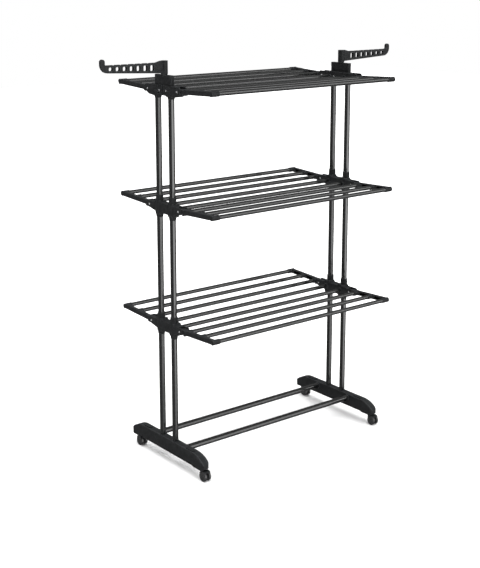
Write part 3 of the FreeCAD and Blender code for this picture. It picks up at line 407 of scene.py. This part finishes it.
def rivet_tree():
    """A semi-tubular rivet along its point's own turn: a domed head at the point, a shank
    as long as its grip, and a tail rolled over at the far end."""
    tree, given = new_tree("semi_tubular_rivet", [
        ("Head", "Float"), ("Dome", "Float"), ("Shank", "Float"), ("Roll", "Float"),
        ("Material", "Material")])
    turn = add_node(tree, "GeometryNodeInputNamedAttribute", {"Name": "turn"},
                    data_type="FLOAT_VECTOR")
    grip = add_node(tree, "GeometryNodeInputNamedAttribute", {"Name": "length"},
                    data_type="FLOAT")
    head_radius, shank_radius = [
        add_node(tree, "ShaderNodeMath", {0: given[label], 1: 0.5}, operation="MULTIPLY")
        for label in ("Head", "Shank")]

    # the head is a stack of rings: their height rises as a sine, their radius falls as a
    # cosine
    line = add_node(tree, "GeometryNodeCurvePrimitiveLine")
    stack = add_node(tree, "GeometryNodeResampleCurve", {"Curve": line, "Count": DOME_RINGS})
    step = add_node(tree, "GeometryNodeSplineParameter").outputs["Factor"]
    angle = add_node(tree, "ShaderNodeMath", {0: step, 1: math.radians(DOME_SWEEP)},
                     operation="MULTIPLY")
    sine, cosine = [add_node(tree, "ShaderNodeMath", {0: angle}, operation=operation)
                    for operation in ("SINE", "COSINE")]
    rise, spread = [
        add_node(tree, "ShaderNodeMath", {0: share, 1: size}, operation="MULTIPLY")
        for share, size in ((sine, given["Dome"]), (cosine, head_radius))]
    outward = add_node(tree, "ShaderNodeMath", {0: rise, 1: -1.0}, operation="MULTIPLY")
    place = add_node(tree, "ShaderNodeCombineXYZ", {"Z": outward})
    stack = add_node(tree, "GeometryNodeSetPosition", {"Geometry": stack, "Position": place})
    ring, mouth, lip = [
        add_node(tree, "GeometryNodeCurvePrimitiveCircle",
                 {"Resolution": sides, "Radius": radius}).outputs["Curve"]
        for sides, radius in ((RIVET_SIDES, 1.0), (RIVET_SIDES, shank_radius),
                              (LIP_SIDES, given["Roll"]))]
    head = add_node(tree, "GeometryNodeCurveToMesh",
                    {"Curve": stack, "Profile Curve": ring, "Scale": spread,
                     "Fill Caps": True})
    tail = add_node(tree, "GeometryNodeCurveToMesh", {"Curve": mouth, "Profile Curve": lip})
    shank = add_node(tree, "GeometryNodeMeshCylinder",
                     {"Vertices": RIVET_SIDES, "Radius": shank_radius, "Depth": 1.0})
    shank = add_node(tree, "GeometryNodeTransform",
                     {"Geometry": shank.outputs["Mesh"], "Translation": (0, 0, 0.5)})

    stretch = add_node(tree, "ShaderNodeCombineXYZ", {"X": 1.0, "Y": 1.0, "Z": grip})
    heads, shanks, tails = [
        add_node(tree, "GeometryNodeInstanceOnPoints",
                 {"Points": given["Geometry"], "Instance": shape, "Rotation": turn,
                  "Scale": scale})
        for shape, scale in ((head, AS_MADE), (shank, stretch), (tail, AS_MADE))]
    far_end = add_node(tree, "ShaderNodeCombineXYZ", {"Z": grip})
    tails = add_node(tree, "GeometryNodeTranslateInstances",
                     {"Instances": tails, "Translation": far_end})
    whole = add_node(tree, "GeometryNodeJoinGeometry", {"Geometry": [heads, shanks, tails]})
    end_tree(tree, whole, given["Material"])
    return tree


def grown(name, tree, points, lengths, inputs, turns=()):
    """One plain mesh grown by the tree on the points; they and their lengths are in mm."""
    mesh = bpy.data.meshes.new(name)
    mesh.from_pydata([Vector(point) * MM for point in points], [], [])
    carried = mesh.attributes.new("length", "FLOAT", "POINT")
    carried.data.foreach_set("value", [length * MM for length in lengths])
    if turns:
        carried = mesh.attributes.new("turn", "FLOAT_VECTOR", "POINT")
        carried.data.foreach_set("vector", [angle for turn in turns for angle in turn])
    seed = place_object(name, mesh)
    modifier = seed.modifiers.new("grow", "NODES")
    modifier.node_group = tree
    for item in tree.interface.items_tree:
        if item.in_out == "INPUT" and item.name in inputs:
            modifier[item.identifier] = inputs[item.name]
    graph = bpy.context.evaluated_depsgraph_get()
    plain = bpy.data.meshes.new_from_object(seed.evaluated_get(graph))
    plain.materials.clear()
    plain.materials.append(inputs["Material"])
    bpy.data.objects.remove(seed)
    return place_object(name, plain)


# ---------------------------------------------------------------- tubes and rivets
def lay_tubes(tree, finish, name, body, section, turn, runs, nodes):
    """Tubes of one section: each run is its middle's x, y and z, and its length."""
    diameter, wall = section
    inputs = {"Diameter": diameter * MM, "Wall": wall * MM, "Turn": turn,
              "Material": finish}
    piece = grown(name, tree, [run[:3] for run in runs], [run[3] for run in runs], inputs)
    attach(piece, body)
    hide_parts(*nodes)


def middle_and_length(node, axis):
    """A node's middle in mm, and its length along an axis."""
    low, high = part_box(node)
    middle = [(a + b) / 2 / MM for a, b in zip(low, high)]
    return (*middle, (high[axis] - low[axis]) / MM)


def make_tubes(finish):
    """Posts, crossbars, fixed rods and wing rods, round where the CAD's are faceted."""
    tree = tube_tree()
    posts = ["post_%s_%s_%s" % (level, side, end)
             for level, _ in TIERS for side, _ in SIDES for end, _ in ENDS]
    lay_tubes(tree, finish, "post_tubes", "frame", POST_TUBE, UPRIGHT,
              [middle_and_length(node, 2) for node in posts], posts)
    bars = ["crossbar_" + end for end, _ in ENDS]
    lay_tubes(tree, finish, "crossbar_tubes", "frame", POST_TUBE, ALONG_X,
              [middle_and_length(node, 0) for node in bars], bars)

    low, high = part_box("fixed_rods")
    length = (high[0] - low[0]) / MM
    reach = high[1] / MM - ROD_TUBE[0] / 2
    lay_tubes(tree, finish, "fixed_rod_tubes", "frame", ROD_TUBE, ALONG_X,
              [(0, side * reach, height, length) for _, height in TIERS for _, side in ENDS],
              ["fixed_rods"])

    slope = math.radians(WING_TILT)
    for level, height in TIERS:
        for end, side in ENDS:
            node = "wing_rods_%s_%s" % (level, end)
            low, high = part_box(node)
            length = (high[0] - low[0]) / MM
            runs = [(0, side * (HINGE_Y + step * math.cos(slope)),
                     height + HINGE_RISE + step * math.sin(slope), length)
                    for step in WING_ROD_STEPS]
            lay_tubes(tree, finish, node + "_tubes", "wing_%s_%s" % (level, end), ROD_TUBE,
                      ALONG_X, runs, [node])


def make_rivets(finish):
    """Hinge rivets and plate rivets, their heads on the rack's outer faces."""
    points, grips, turns = [], [], []
    for _, side in SIDES:
        for _, end in ENDS:
            seats = [(BRACKET_OUTER, HINGE_Y, height + HINGE_RISE) for _, height in TIERS]
            seats.append((PLATE_OUTER, PLATE_RIVET_Y, PLATE_RIVET_Z))
            for outer, y, z in seats:
                points.append((side * (POST_X + outer), end * y, z))
                grips.append(outer + BRACKET_INNER)
                turns.append((0, -side * math.radians(90), 0))
    inputs = {label: size * MM for label, size in RIVET_SIZES.items()}
    inputs["Material"] = finish
    piece = grown("turned_rivets", rivet_tree(), points, grips, inputs, turns)
    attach(piece, "frame")
    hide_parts("rivets")


def make_floor():
    """The pale floor, which leaves no reflection of itself on the rack."""
    mesh = bpy.data.meshes.new("floor")
    corners = [(-1, -1), (1, -1), (1, 1), (-1, 1)]
    mesh.from_pydata([(x * FLOOR_REACH, y * FLOOR_REACH, 0) for x, y in corners], [],
                     [(0, 1, 2, 3)])
    mesh.materials.append(pale_floor())
    floor = place_object("floor", mesh)
    floor.visible_glossy = False


make_camera()
make_world()
make_floor_light()
make_floor()
finishes = dress_nodes()
make_tubes(finishes["black_tube"])
make_rivets(finishes["rivet_steel"])

bpy.context.view_layer.update()
